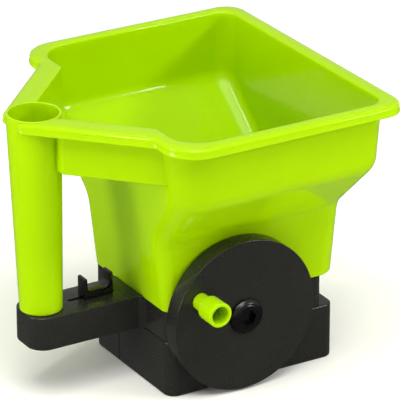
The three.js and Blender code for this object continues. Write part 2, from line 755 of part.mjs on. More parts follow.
// The spinner's upright shaft.
const upright = new THREE.Group();
upright.position.set(layX, 0, 0);
spreader.add(upright);
const { tower } = CARRIER;
const toothStep = (2 * Math.PI) / BEVEL.teeth;
const bevel = bevelGear(-Math.PI / 2 + toothStep / 2, SHAFT.spinner + SHAFT.fit);
const uprightBore = SHAFT.spinner + BUSH.room;
add(upright, "spinner_shaft", cylinder(SHAFT.spinner, 2.6, tower - 1.4, 20), steel);
add(upright, "spinner", spinner(), green);
add(upright, "spinner_bevel", bevel, natural).position.z = layZ;
add(upright, "spinner_bush_bottom", tube(BUSH.spinnerR, uprightBore, 2.3, 7, 24), brass);
add(
  upright,
  "spinner_bush_top",
  tube(BUSH.spinnerR, uprightBore, tower - TOWER.depth, tower - 1.3, 24),
  brass,
);

// Fasteners.
hopperScrews.forEach(([x, y], i) => {
  const mesh = add(spreader, `hopper_screw_${i + 1}`, screw(3.6, 2, 1.9, 13), steel);
  mesh.position.set(x, y, DECK.top - DECK.plate - GAP);
});
coverScrews.forEach(([x, y], i) => {
  const mesh = add(spreader, `cover_screw_${i + 1}`, screw(3.1, 0.9, 1.6, 11), steel);
  mesh.position.set(x, y, COUNTERBORE.coverDepth - GAP);
});
guideScrews.forEach(([x, y], i) => {
  const mesh = add(spreader, `guide_screw_${i + 1}`, screw(2.8, 1.4, 1.5, 6.8), steel);
  mesh.position.set(x, y, GATE.low - GUIDE.base - 2 * GAP);
});
carrierScrews.forEach((x, i) => {
  const mesh = add(spreader, `carrier_screw_${i + 1}`, screw(2.6, 0.9, 1.5, 4.4), steel);
  const head = BOX.half - COUNTERBORE.carrierDepth + GAP;
  mesh.position.set(x, -head, CARRIER_SCREW.z);
  mesh.rotation.x = -Math.PI / 2;
});
const handleScrew = add(spreader, "handle_screw", screw(3.8, 2.2, 1.9, 24), steel);
handleScrew.position.set(HANDLE.footX, 0, ARM.top - PLUG.columnFoot - GAP);

export default spreader;
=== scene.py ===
import json
import math

import bmesh
import bpy
import numpy as np
from mathutils import Matrix, Vector


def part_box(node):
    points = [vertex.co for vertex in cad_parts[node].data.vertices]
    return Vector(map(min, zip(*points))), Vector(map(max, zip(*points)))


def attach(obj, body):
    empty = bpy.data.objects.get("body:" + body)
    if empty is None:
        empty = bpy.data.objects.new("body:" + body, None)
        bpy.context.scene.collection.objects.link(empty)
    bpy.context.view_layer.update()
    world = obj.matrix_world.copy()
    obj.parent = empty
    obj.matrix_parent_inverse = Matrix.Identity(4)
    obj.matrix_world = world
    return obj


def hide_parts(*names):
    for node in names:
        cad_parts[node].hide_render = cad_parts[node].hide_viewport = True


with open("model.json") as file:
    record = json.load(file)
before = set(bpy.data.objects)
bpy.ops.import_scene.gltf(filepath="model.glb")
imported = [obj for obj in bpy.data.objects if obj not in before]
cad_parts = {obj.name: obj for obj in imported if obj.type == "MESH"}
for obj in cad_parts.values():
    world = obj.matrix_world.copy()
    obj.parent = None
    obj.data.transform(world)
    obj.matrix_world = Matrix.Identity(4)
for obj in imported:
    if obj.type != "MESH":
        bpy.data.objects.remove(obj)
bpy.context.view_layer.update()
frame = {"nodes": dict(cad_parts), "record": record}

MM = 0.001
FULL_TURN = 2 * math.pi
UP = (0, 0, 1)


# ---------------------------------------------------------------- camera, floor and light
AZIMUTH = -30.78
ELEVATION = 23.57
LENS = 315.0
CLIP = {"start": 0.1, "end": 20.0}
TARGET = Vector((-1.28, 16.3, 105.0)) * MM
DISTANCE = 2368.9 * MM
WARM = (1.0, 0.985, 0.92)
SURROUND = {"below": 0.14, "above": 0.48, "blur": 0.15}
FLOOR_SIDE = 6.0


def facing(azimuth, elevation, distance):
    """Where a camera or lamp stands to look at the target from that direction, in degrees."""
    azimuth = math.radians(azimuth)
    elevation = math.radians(elevation)
    flat = math.cos(elevation)
    back = Vector((math.sin(azimuth) * flat, -math.cos(azimuth) * flat, math.sin(elevation)))
    right = Vector((math.cos(azimuth), math.sin(azimuth), 0))
    turn = Matrix((right, back.cross(right), back)).transposed().to_4x4()
    return Matrix.Translation(TARGET + back * distance) @ turn


def make_camera():
    camera = bpy.data.objects.new("camera", bpy.data.cameras.new("camera"))
    camera.data.lens = LENS
    camera.data.clip_start = CLIP["start"]
    camera.data.clip_end = CLIP["end"]
    camera.matrix_world = facing(AZIMUTH, ELEVATION, DISTANCE)
    bpy.context.scene.collection.objects.link(camera)
    bpy.context.scene.camera = camera


def add_lamp(light, azimuth, elevation, distance):
    light.color = WARM
    lamp = bpy.data.objects.new(light.name, light)
    lamp.matrix_world = facing(azimuth, elevation, distance)
    bpy.context.scene.collection.objects.link(lamp)


def add_light(name, azimuth, elevation, distance, size, brightness):
    """A soft rectangular light from that direction. At 1 it makes a white card look just white."""
    light = bpy.data.lights.new(name, "AREA")
    light.shape = "RECTANGLE"
    light.size, light.size_y = size
    light.energy = brightness * (math.pi * distance) ** 2
    add_lamp(light, azimuth, elevation, distance)


def add_sun(name, azimuth, elevation, spread, brightness):
    """An even light from a broad patch of sky, which is spread degrees across."""
    light = bpy.data.lights.new(name, "SUN")
    light.angle = math.radians(spread)
    light.energy = brightness * math.pi
    add_lamp(light, azimuth, elevation, 0.0)


def make_world():
    """An even pale surround, less bright below the horizon."""
    world = bpy.data.worlds.new("studio")
    world.use_nodes = True
    tree = world.node_tree
    direction = tree.nodes.new("ShaderNodeTexCoord").outputs["Generated"]
    split = tree.nodes.new("ShaderNodeSeparateXYZ")
    tree.links.new(direction, split.inputs["Vector"])
    ramp = tree.nodes.new("ShaderNodeMapRange")
    ramp.inputs["From Min"].default_value = -SURROUND["blur"]
    ramp.inputs["From Max"].default_value = SURROUND["blur"]
    ramp.inputs["To Min"].default_value = SURROUND["below"]
    ramp.inputs["To Max"].default_value = SURROUND["above"]
    tree.links.new(split.outputs["Z"], ramp.inputs["Value"])
    background = tree.nodes["Background"]
    background.inputs["Color"].default_value = (*WARM, 1)
    tree.links.new(ramp.outputs["Result"], background.inputs["Strength"])
    bpy.context.scene.world = world


def make_studio():
    bpy.context.scene.view_settings.view_transform = "Standard"
    make_world()
    add_sun("sun", azimuth=-20, elevation=66, spread=40, brightness=0.36)
    add_light("sky", azimuth=-20, elevation=75, distance=1.8, size=(1.5, 1.2), brightness=0.28)
    add_light("front", azimuth=-30, elevation=50, distance=1.6, size=(0.9, 0.4), brightness=0.15)
    add_light("key", azimuth=-97, elevation=12, distance=1.4, size=(0.35, 0.4), brightness=0.36)
    add_light("side", azimuth=42, elevation=25, distance=1.5, size=(0.5, 0.08), brightness=0.4)
    add_light("strip", azimuth=-66, elevation=50, distance=1.2, size=(0.025, 0.5), brightness=0.16)

    floor = plate_mesh("floor", FLOOR_SIDE)
    floor.visible_glossy = False
    paint(floor, floor_material())


def plate_mesh(name, side):
    mesh = bpy.data.meshes.new(name)
    half = side / 2
    corners = [(-half, -half, 0), (half, -half, 0), (half, half, 0), (-half, half, 0)]
    mesh.from_pydata(corners, [], [(0, 1, 2, 3)])
    plate = bpy.data.objects.new(name, mesh)
    bpy.context.scene.collection.objects.link(plate)
    return plate


# ---------------------------------------------------------------- materials
# The Mix node's colour sockets share their names with its others, so they go by number.
MIX_INPUTS = (6, 7)
MIX_OUTPUT = 2


def paint(piece, material):
    piece.data.materials.clear()
    piece.data.materials.append(material)


class Shader:
    """A small helper that builds one procedural material on the Principled shader."""

    def __init__(self, name):
        self.material = bpy.data.materials.new(name)
        self.material.use_nodes = True
        self.tree = self.material.node_tree
        self.shader = self.tree.nodes["Principled BSDF"]
        self.coordinates = self.tree.nodes.new("ShaderNodeTexCoord").outputs["Object"]

    def node(self, kind, **inputs):
        made = self.tree.nodes.new(kind)
        for key, value in inputs.items():
            self.give(made.inputs[key.replace("_", " ")], value)
        return made

    def give(self, socket, value):
        if isinstance(value, bpy.types.NodeSocket):
            self.tree.links.new(value, socket)
        else:
            socket.default_value = value

    def set(self, **inputs):
        for key, value in inputs.items():
            self.give(self.shader.inputs[key.replace("_", " ")], value)

    def stretched(self, scale):
        """The coordinates, stretched along each axis."""
        mapping = self.node("ShaderNodeMapping", Vector=self.coordinates)
        mapping.inputs["Scale"].default_value = scale
        return mapping.outputs["Vector"]

    def noise(self, scale, detail=2.0, vector=None, roughness=0.5):
        made = self.node(
            "ShaderNodeTexNoise",
            Vector=vector or self.coordinates,
            Scale=scale,
            Detail=detail,
            Roughness=roughness,
        )
        return made.outputs["Fac"]

    def ranged(self, value, low, high, start=0.3, end=0.7):
        """A value of start to end, turned into one of low to high."""
        made = self.node("ShaderNodeMapRange", Value=value)
        made.inputs["From Min"].default_value = start
        made.inputs["From Max"].default_value = end
        made.inputs["To Min"].default_value = low
        made.inputs["To Max"].default_value = high
        return made.outputs["Result"]

    def blend(self, factor, first, second):
        mix = self.tree.nodes.new("ShaderNodeMix")
        mix.data_type = "RGBA"
        self.give(mix.inputs["Factor"], factor)
        for number, colour in zip(MIX_INPUTS, (first, second)):
            self.give(mix.inputs[number], colour)
        return mix.outputs[MIX_OUTPUT]

    def bump(self, height, strength, distance, normal=None):
        made = self.node("ShaderNodeBump", Height=height, Strength=strength, Distance=distance)
        if normal is not None:
            self.give(made.inputs["Normal"], normal)
        return made.outputs["Normal"]


def rgb(red, green, blue):
    """A colour given as it looks on screen, 0 to 255, as the shader's linear one."""

    def linear(value):
        value /= 255
        return value / 12.92 if value <= 0.04045 else ((value + 0.055) / 1.055) ** 2.4

    return (linear(red), linear(green), linear(blue), 1.0)


def moulded(name, colour, darker, roughness, grain, specular, tint=(1, 1, 1)):
    """Injection-moulded plastic: slightly cloudy colour, faint flow lines, fine grain, scuffs."""
    s = Shader(name)
    cloud = s.ranged(s.noise(scale=22, detail=3), low=0.0, high=1.0)
    s.set(Base_Color=s.blend(cloud, colour, darker))
    scuffs = s.noise(scale=160, detail=4, vector=s.stretched((1.0, 0.25, 1.0)), roughness=0.7)
    worn = s.ranged(scuffs, low=roughness - 0.02, high=roughness + 0.04, start=0.35, end=0.75)
    s.set(Roughness=worn)
    s.set(Specular_IOR_Level=specular)
    s.set(Specular_Tint=(*tint, 1.0))
    waves = s.noise(scale=14, detail=2, vector=s.stretched((1.0, 1.0, 0.3)))
    flow = s.bump(waves, strength=0.1, distance=0.1 * MM)
    pores = s.noise(scale=2200, detail=1)
    s.set(Normal=s.bump(pores, strength=grain, distance=0.006 * MM, normal=flow))
    return s.material


def green_material():
    """The green plastic, which lets a little light through."""
    made = moulded(
        "green_plastic",
        rgb(161, 203, 0),
        rgb(157, 199, 0),
        roughness=0.07,
        grain=0.05,
        specular=0.28,
        tint=(1.0, 1.0, 0.75),
    )
    shader = made.node_tree.nodes["Principled BSDF"]
    shader.inputs["Subsurface Weight"].default_value = 0.3
    shader.inputs["Subsurface Radius"].default_value = (1.0, 1.0, 0.2)
    shader.inputs["Subsurface Scale"].default_value = 4 * MM
    return made


def black_material():
    dark, darker = rgb(34, 34, 32), rgb(31, 31, 29)
    return moulded("black_plastic", dark, darker, roughness=0.26, grain=0.05, specular=0.4)


def gloss_black_material():
    dark, darker = rgb(16, 16, 16), rgb(12, 12, 12)
    return moulded("gloss_black_plastic", dark, darker, roughness=0.1, grain=0.05, specular=0.6)


def natural_material():
    pale, darker = rgb(226, 222, 208), rgb(214, 208, 190)
    return moulded("natural_plastic", pale, darker, roughness=0.4, grain=0.15, specular=0.4)


def metal(name, bright, dark, roughness, turned_scale):
    """Turned or plated metal: fine tool marks and cloudy tarnish."""
    s = Shader(name)
    tarnish = s.ranged(s.noise(scale=260, detail=4), low=0.0, high=1.0)
    along = s.stretched((1.0, 1.0, 9.0))
    marks = s.noise(scale=turned_scale, detail=3, vector=along, roughness=0.7)
    s.set(Base_Color=s.blend(tarnish, bright, dark))
    s.set(Metallic=1.0)
    s.set(Roughness=s.ranged(marks, low=roughness - 0.08, high=roughness + 0.12))
    s.set(Normal=s.bump(marks, strength=0.2, distance=0.04 * MM))
    return s.material


def floor_material():
    s = Shader("floor")
    cloud = s.ranged(s.noise(scale=3, detail=2), low=0.0, high=1.0)
    s.set(Base_Color=s.blend(cloud, rgb(248, 248, 248), rgb(250, 250, 250)))
    s.set(Roughness=0.75)
    return s.material


# ---------------------------------------------------------------- outlines (metres, in plan)
LEAST_RADIUS = 0.2 * MM


def unit(vector):
    return vector / np.linalg.norm(vector)


def between(first, last, steps):
    """The points that cut a line into steps, without its ends."""
    return np.linspace(first, last, steps + 1)[1:-1]


def fillet(before, corner, after, radius, steps):
    """The arc that rounds a corner, from one tangent point to the other."""
    before, corner, after = (np.array(point, float) for point in (before, corner, after))
    back = unit(before - corner)
    ahead = unit(after - corner)
    half = math.acos(np.clip(back @ ahead, -1, 1)) / 2
    centre = corner + unit(back + ahead) * radius / math.sin(half)
    start = corner + back * radius / math.tan(half) - centre
    end = corner + ahead * radius / math.tan(half) - centre
    first = math.atan2(start[1], start[0])
    sweep = (math.atan2(end[1], end[0]) - first + math.pi) % FULL_TURN - math.pi
    angles = first + sweep * np.linspace(0, 1, steps + 1)
    return centre + radius * np.stack([np.cos(angles), np.sin(angles)], axis=1)


def rounded(corners, steps=6):
    """A closed outline from (x, y, radius) corners."""
    points = []
    for i, (x, y, radius) in enumerate(corners):
        before, after = corners[i - 1], corners[(i + 1) % len(corners)]
        if radius > 0:
            points.extend(fillet(before[:2], (x, y), after[:2], radius, steps))
        else:
            points.append(np.array((x, y), float))
    return np.array(points)


def inset_corners(corners, distance):
    """(x, y, radius) corners, anticlockwise, after moving every edge in by a distance."""
    moved = []
    for i, (x, y, radius) in enumerate(corners):
        before = np.array(corners[i - 1][:2])
        after = np.array(corners[(i + 1) % len(corners)][:2])
        here = np.array((x, y))
        first = unit(here - before)
        second = unit(after - here)
        normals = np.array((first[1] + second[1], -first[0] - second[0]))
        shift = -normals * distance / (1 + first @ second)
        bulges = first[0] * second[1] - first[1] * second[0] > 0
        grown = radius - distance if bulges else radius + distance
        if radius > 0:
            radius = max(grown, LEAST_RADIUS)
        moved.append((*(here + shift), radius))
    return moved


def rectangle(rear, front, half, rear_radius, front_radius=None):
    front_radius = rear_radius if front_radius is None else front_radius
    return [
        (front, -half, front_radius),
        (front, half, front_radius),
        (rear, half, rear_radius),
        (rear, -half, rear_radius),
    ]


# ---------------------------------------------------------------- meshes
SMOOTH = 35.0
WELD = 0.002 * MM
SLIVER = 0.001 * MM
ON_AXIS = 1e-7


def finish_mesh(bm, name, body, material):
    """Makes a piece from a bmesh. Without a body it is only a tool for cutting or joining."""
    bmesh.ops.remove_doubles(bm, verts=bm.verts, dist=WELD)
    bmesh.ops.dissolve_degenerate(bm, edges=bm.edges, dist=SLIVER)
    bmesh.ops.recalc_face_normals(bm, faces=bm.faces)
    mesh = bpy.data.meshes.new(name)
    bm.to_mesh(mesh)
    bm.free()
    piece = bpy.data.objects.new(name, mesh)
    bpy.context.scene.collection.objects.link(piece)
    shade(piece, SMOOTH)
    if material is not None:
        paint(piece, material)
    if body is not None:
        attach(piece, body)
    return piece


def shade(piece, smooth):
    """Smooths the piece but for edges sharper than that many degrees."""
    piece.data.shade_smooth()
    piece.data.set_sharp_from_angle(angle=math.radians(smooth))


def tool(bm):
    return finish_mesh(bm, "tool", None, None)


def bake(piece, smooth):
    """Turns the piece's modifiers into its mesh."""
    graph = bpy.context.evaluated_depsgraph_get()
    made = bpy.data.meshes.new_from_object(piece.evaluated_get(graph))
    old = piece.data
    piece.modifiers.clear()
    piece.data = made
    made.name = piece.name
    bpy.data.meshes.remove(old)
    shade(piece, smooth)


def combine(piece, other, operation, smooth=SMOOTH):
    """Joins another solid to the piece, or cuts it away."""
    modifier = piece.modifiers.new(operation, "BOOLEAN")
    modifier.operation = operation
    modifier.solver = "EXACT"
    modifier.object = other
    bake(piece, smooth)
    old = other.data
    bpy.data.objects.remove(other)
    bpy.data.meshes.remove(old)


def loft(rings, closed=False):
    """A bmesh through a stack of rings. Its ends are capped, or joined to each other."""
    bm = bmesh.new()
    rows = [[bm.verts.new(point) for point in ring] for ring in rings]
    pairs = list(zip(rows, rows[1:]))
    if closed:
        pairs.append((rows[-1], rows[0]))
    for low, high in pairs:
        for i in range(len(low)):
            j = (i + 1) % len(low)
            bm.faces.new((low[i], low[j], high[j], high[i]))
    if not closed:
        bm.faces.new(rows[0][::-1])
        bm.faces.new(rows[-1])
    return bm


def flat_ring(points, z):
    return [(x, y, z) for x, y in points]


def eased_prism(corners, low, high, low_edge=0.0, high_edge=0.0, steps=4, arc=8):
    """A prism about Z whose bottom and top edges are rounded."""

    def ring(inset, z):
        return flat_ring(rounded(inset_corners(corners, inset), arc), z)

    rings = []
    for i in range(steps + 1 if low_edge else 1):
        angle = math.pi / 2 * i / steps
        z = low + low_edge * (1 - math.cos(angle))
        rings.append(ring(low_edge * (1 - math.sin(angle)), z))
    for i in range(steps + 1 if high_edge else 1):
        angle = math.pi / 2 * i / steps
        z = high - high_edge * (1 - math.sin(angle))
        rings.append(ring(high_edge * (1 - math.cos(angle)), z))
    return loft(rings)


def box_tool(low, high):
    (x0, y0, z0), (x1, y1, z1) = low, high
    corners = [(x0, y0), (x1, y0), (x1, y1), (x0, y1)]
    return tool(loft([flat_ring(corners, z0), flat_ring(corners, z1)]))


def soft_profile(points, steps=4):
    """A profile of (r, h, radius) points with its corners rounded."""
    path = []
    for i, (r, h, radius) in enumerate(points):
        if radius and 0 < i < len(points) - 1:
            path.extend(fillet(points[i - 1][:2], (r, h), points[i + 1][:2], radius, steps))
        else:
            path.append(np.array((r, h)))
    return path


def turned(profile, segments, origin=(0, 0, 0), axis=UP):
    """A closed solid of revolution. The profile starts and ends on the axis, or is a loop."""
    bm = bmesh.new()
    on_axis = profile[0][0] < ON_AXIS and profile[-1][0] < ON_AXIS
    rows = []
    for r, h in profile:
        row = []
        for i in range(segments):
            angle = FULL_TURN * i / segments
            row.append(bm.verts.new((r * math.cos(angle), r * math.sin(angle), h)))
        rows.append(row)
    pairs = list(zip(rows, rows[1:]))
    if not on_axis:
        pairs.append((rows[-1], rows[0]))
    for low, high in pairs:
        for i in range(segments):
            j = (i + 1) % segments
            bm.faces.new((low[i], low[j], high[j], high[i]))
    place(bm, origin, axis)
    return bm


def rod(low, high, low_r, high_r, segments):
    """A solid rod or cone about Z."""
    return turned([(0, low), (low_r, low), (high_r, high), (0, high)], segments)


def place(bm, origin, axis=UP):
    """Turns what was made about Z onto an axis through a point."""
    turn = Vector(UP).rotation_difference(Vector(axis)).to_matrix().to_4x4()
    bmesh.ops.transform(bm, matrix=Matrix.Translation(Vector(origin)) @ turn, verts=bm.verts)


# ---------------------------------------------------------------- hopper
hopper_low, hopper_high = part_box("hopper")
WALL = 2.4 * MM
RIM_TOP = hopper_high.z
RIM = {"front": hopper_high.x, "rear": -90 * MM, "half": hopper_high.y}
RIM_RADII = {"front": 16 * MM, "rear": 24 * MM, "notch": 7 * MM, "apex": 4 * MM}
UNDER_RIM = 1.6 * MM
APEX = (-152.5 * MM, 12.3 * MM)
SHOULDER = 78 * MM
SLOPE = (SHOULDER - APEX[1]) / (RIM["rear"] - APEX[0])
RIM_FACE = RIM_TOP - 0.5 * MM
BROW = {"bottom": 166.2 * MM, "rear": -128.8 * MM, "inset": 13 * MM, "edge": 1.2 * MM}
BROW_RADII = {"crease": 0.8 * MM, "end": 4.5 * MM}
TRAY = {"rear": -79 * MM, "shoulder": 64.7 * MM, "end": -127 * MM}
TRAY_RADII = {"crease": 4.0 * MM, "end": 1.0 * MM}
HANDLE = {"top_x": -135.8 * MM, "top_r": 18.35 * MM, "foot_x": -133.1 * MM, "foot_r": 14.4 * MM}
HANDLE_FOOT = 63.4 * MM
CUP = {"floor": 80 * MM, "web": 2.5 * MM}
FUNNEL = {"top": 84 * MM, "port_x": -25 * MM, "length": 10 * MM, "half": 12 * MM}
FOLDS = (112.5 * MM, 156 * MM)
RING = {"front": 8, "corner": 14, "side": 16, "rear": 4, "notch": 7, "oblique": 12, "apex": 6, "end": 5}


def bent(z, knots, reach=6 * MM):
    """The value at z of a line through (z, value) knots, with each bend rounded."""
    (z0, value), *rest = knots
    slopes = [(b[1] - a[1]) / (b[0] - a[0]) for a, b in zip(knots, rest)]
    value += slopes[0] * (z - z0)
    for (knot, _), before, after in zip(rest, slopes, slopes[1:]):
        over = z - knot
        if over > reach:
            ramp = over
        elif over > -reach:
            ramp = (over + reach) ** 2 / (4 * reach)
        else:
            ramp = 0.0
        value += (after - before) * ramp
    return value


def scaled(knots):
    return [(z * MM, value * MM) for z, value in knots]


TUB = {
    "half": scaled([(61.65, 50), (112.5, 51.3), (156, 98.4), (198, 101.4)]),
    "rear": scaled([(61.65, -66), (110, -72.3), (154, -79.4), (198, -82.5)]),
    "front": scaled([(61.65, 69), (110, 72.2), (154, 70.9), (198, 72.5)]),
    "rear_r": scaled([(61.65, 8), (112, 11), (122, 19), (156, 22), (198, 24)]),
    "front_r": scaled([(61.65, 17), (112, 15), (156, 15), (198, 15)]),
}


def tub(z, inset=0.0):
    """Half of the tub's outline at a height, as its two corners."""
    at = {key: bent(z, knots) for key, knots in TUB.items()}
    return [
        (at["front"] - inset, at["half"] - inset, at["front_r"] - inset),
        (at["rear"] + inset, at["half"] - inset, at["rear_r"] - inset),
    ]


def mirrored(half):
    """A whole outline's corners, from those on the +Y side."""
    return [*half, *[(x, -y, radius) for x, y, radius in reversed(half)]]


def half_loop(corners, wedge):
    """The +Y half of a ring, from the middle of its front to the middle of its rear."""
    (front, half, front_r), (rear, _, rear_r) = corners
    turn = fillet((front, 0), (front, half), (rear, half), front_r, RING["corner"])
    back = fillet((front, half), (rear, half), (rear, 0), rear_r, RING["corner"])
    return np.vstack(
        [
            np.linspace((front, 0), turn[0], RING["front"] + 1)[:-1],
            turn,
            between(turn[-1], back[0], RING["side"]),
            back,
            between(back[-1], wedge[0], RING["rear"]),
            wedge,
        ]
    )


def wedge_half(rear, shoulder, notch_r, apex, apex_r):
    """Half of the wedge that runs back from a rear edge to its blunt end."""
    outward = (rear, shoulder + notch_r)
    notch = fillet(outward, (rear, shoulder), apex, notch_r, RING["notch"])
    tip = fillet((rear, shoulder), apex, (apex[0], -apex[1]), apex_r, RING["apex"])
    return np.vstack(
        [
            notch,
            between(notch[-1], tip[0], RING["oblique"]),
            tip,
            np.linspace(tip[-1], (apex[0], 0), RING["end"] + 1)[1:],
        ]
    )


def wedge_ring(corners, inset=0.0):
    """Half a ring with a wedge: corners are the front, rear, notch and apex ones."""
    whole = mirrored(corners)
    moved = inset_corners(whole, inset)[: len(corners)]
    (x, y, radius), apex = moved[2], moved[3]
    return half_loop(moved[:2], wedge_half(x, y, radius, apex[:2], apex[2]))


def rim_ring(inset):
    corners = [
        (RIM["front"], RIM["half"], RIM_RADII["front"]),
        (RIM["rear"], RIM["half"], RIM_RADII["rear"]),
        (RIM["rear"], SHOULDER, RIM_RADII["notch"]),
        (*APEX, RIM_RADII["apex"]),
    ]
    return wedge_ring(corners, inset)


def brow_ring(z, inset=0.0):
    """The outside of the tub with the brow's walls."""
    walls = tub(z)
    rear = walls[1][0]

    def half_at(x):
        return APEX[1] + (x - APEX[0]) * SLOPE - BROW["inset"]

    crease = (rear, half_at(rear), BROW_RADII["crease"])
    end = (BROW["rear"], half_at(BROW["rear"]), BROW_RADII["end"])
    return wedge_ring([*walls, crease, end], inset)


def tray_ring(z, inset=0.0):
    """The inside of the tub with the tray's walls."""
    walls = tub(z, WALL)
    rear = walls[1][0]
    crease_y = TRAY["shoulder"] + (rear - TRAY["rear"]) * SLOPE
    end_y = TRAY["shoulder"] + (TRAY["end"] - TRAY["rear"]) * SLOPE
    crease = (rear, crease_y, TRAY_RADII["crease"])
    end = (TRAY["end"], end_y, TRAY_RADII["end"])
    return wedge_ring([*walls, crease, end], inset)


WEDGE_COUNT = RING["notch"] + 1 + RING["oblique"] - 1 + RING["apex"] + 1 + RING["end"]


def plain_ring(corners, like):
    """Half a ring with no wedge, whose rear points stand in line with another ring's."""
    rear = corners[1][0]
    widths = like[-WEDGE_COUNT:, 1]
    margin = 0.5 * MM
    limit = corners[1][1] - corners[1][2] - margin
    scale = min(1.0, limit / widths[0])
    return half_loop(corners, np.stack([np.full(WEDGE_COUNT, rear), widths * scale], axis=1))


def whole(half, z):
    """A full ring of (x, y, z) from a half. z is a number, or one number for each point."""
    heights = np.broadcast_to(z, (len(half),))
    side = np.column_stack([half, heights])
    other = side[1:-1][::-1] * (1, -1, 1)
    return np.vstack([side, other])


def behind(count):
    """True for the points of a half ring that belong to the wedge."""
    return np.arange(count) >= count - WEDGE_COUNT


def step_ring(near, far, share, near_z, far_z):
    """A half ring whose wedge points lie part of the way from one ring to another."""
    back = behind(len(near))
    plan = np.where(back[:, None], near + (far - near) * share, near)
    return whole(plan, np.where(back, far_z, near_z))


def quarter(steps):
    return np.linspace(0, math.pi / 2, steps + 1)


def fold_levels():
    """Heights across the tub's two folds, from the lower one up and closest at each fold."""
    low, high = FOLDS
    bend, beyond = 6 * MM, 8 * MM
    return np.concatenate(
        [
            np.linspace(low - bend, low + bend, 9),
            np.linspace(low + beyond, high - beyond, 6),
            np.linspace(high - bend, high + bend, 9),
            [high + beyond],
        ]
    )


def hopper_outside():
    """Rings from the neck's foot, up the tub, out under the brow and up to the rim."""
    low = hopper_low.z
    like = brow_ring(BROW["bottom"])
    foot = 0.8 * MM
    rings = []
    for angle in quarter(3):
        z = low + foot * (1 - math.cos(angle))
        rings.append(whole(plain_ring(tub(z, foot * (1 - math.sin(angle))), like), z))
    neck_low, neck_high = low + 2 * MM, FOLDS[0] - 7 * MM
    levels = [*np.linspace(neck_low, neck_high, 7), *fold_levels()]
    rings += [whole(plain_ring(tub(z), like), z) for z in levels]
    bottom, edge = BROW["bottom"], BROW["edge"]
    steps, rise = 6, 0.1 * MM
    for i in range(steps):
        z = bottom + i * rise
        near = plain_ring(tub(z), like)
        rings.append(step_ring(near, brow_ring(z, edge), i / steps, z, bottom))
    for angle in quarter(4):
        z = bottom + edge * (1 - math.cos(angle))
        side_z = z + steps * rise
        ring = brow_ring(z, edge * (1 - math.sin(angle)))
        side = plain_ring(tub(side_z), like)
        back = behind(len(ring))
        rings.append(whole(np.where(back[:, None], ring, side), np.where(back, z, side_z)))
    top = RIM_FACE - WALL
    for z in np.linspace(bottom + 4 * MM, top - 2 * MM, 8):
        rings.append(whole(brow_ring(z), z))
    for angle in quarter(3)[1:]:
        z = top - UNDER_RIM * (1 - math.sin(angle))
        rings.append(whole(brow_ring(z, -UNDER_RIM * (1 - math.cos(angle))), z))
    return rings


def hopper_rim():
    """Rings out under the rim, round its skirt and bead, and in over its top to the lip."""
    top = RIM_FACE - WALL
    wall = brow_ring(top, -UNDER_RIM)
    bead, skirt_low = 0.9 * MM, 195 * MM
    inner = rim_ring(2 * bead)
    rings = []
    for share in (0.35, 0.7, 1.0):
        rings.append(whole(wall + (inner - wall) * share, top))
    rings.append(whole(inner, skirt_low + 2 * bead))
    for angle in np.linspace(0, math.pi, 8):
        z = skirt_low + bead * (1 - math.sin(angle))
        rings.append(whole(rim_ring(bead * (1 + math.cos(angle))), z))
    # Above the bead the skirt steps back a little.
    ease, proud, step = 0.12 * MM, 0.5 * MM, 0.5 * MM
    rings.append(whole(rim_ring(ease), skirt_low + bead + step))
    rings.append(whole(rim_ring(proud), skirt_low + bead + 2 * step))
    drop, reach, crown = 2.6 * MM, 4.2 * MM, 0.25 * MM
    shoulder = RIM_FACE - crown - drop
    for angle in quarter(8):
        z = shoulder + drop * math.sin(angle)
        rings.append(whole(rim_ring(proud + reach * (1 - math.cos(angle))), z))
    lip = 1.6 * MM
    outer = rim_ring(proud + reach)
    edge = tray_ring(RIM_FACE, -lip)
    for share in (0.12, 0.3, 0.5, 0.7, 0.88):
        z = RIM_FACE - crown * (2 * share - 1) ** 2
        rings.append(whole(outer + (edge - outer) * share, z))
    for angle in quarter(4)[::-1]:
        z = RIM_FACE - crown - lip * (1 - math.sin(angle))
        rings.append(whole(tray_ring(z, -lip * (1 - math.cos(angle))), z))
    return rings


def tray_inside():
    """Rings down the tray's walls, in over its floor and down into the tub."""
    floor = BROW["bottom"] + WALL
    curve, lip = 3.0 * MM, 2.5 * MM
    drop, bend_drop = 0.12 * MM, 0.9 * MM
    rings = []
    for z in np.linspace(RIM_TOP - 5 * MM, floor + curve + MM, 7):
        rings.append(whole(tray_ring(z), z))
    for i, angle in enumerate(quarter(4)):
        z = floor + curve * (1 - math.sin(angle))
        side_z = floor + curve - i * drop
        ring = tray_ring(z, curve * (1 - math.cos(angle)))
        side = tray_ring(side_z)
        back = behind(len(ring))
        rings.append(whole(np.where(back[:, None], ring, side), np.where(back, z, side_z)))
    like = tray_ring(floor, curve)
    for i, share in enumerate((0.8, 0.6, 0.4, 0.2)):
        side_z = floor + 2.2 * MM - i * drop
        near = plain_ring(tub(side_z, WALL), like)
        back = behind(len(near))
        start = near - np.outer(back, (lip, 0))
        plan = np.where(back[:, None], start + (like - start) * share, near)
        rings.append(whole(plan, np.where(back, floor, side_z)))
    for i, angle in enumerate(quarter(4)):
        z = floor - lip * (1 - math.cos(angle))
        side_z = floor + 1.4 * MM - i * bend_drop
        near = plain_ring(tub(z, WALL), like)
        side = plain_ring(tub(side_z, WALL), like)
        back = behind(len(near))
        plan = np.where(back[:, None], near - np.array((lip * (1 - math.sin(angle)), 0)), side)
        rings.append(whole(plan, np.where(back, z, side_z)))
    return rings, like


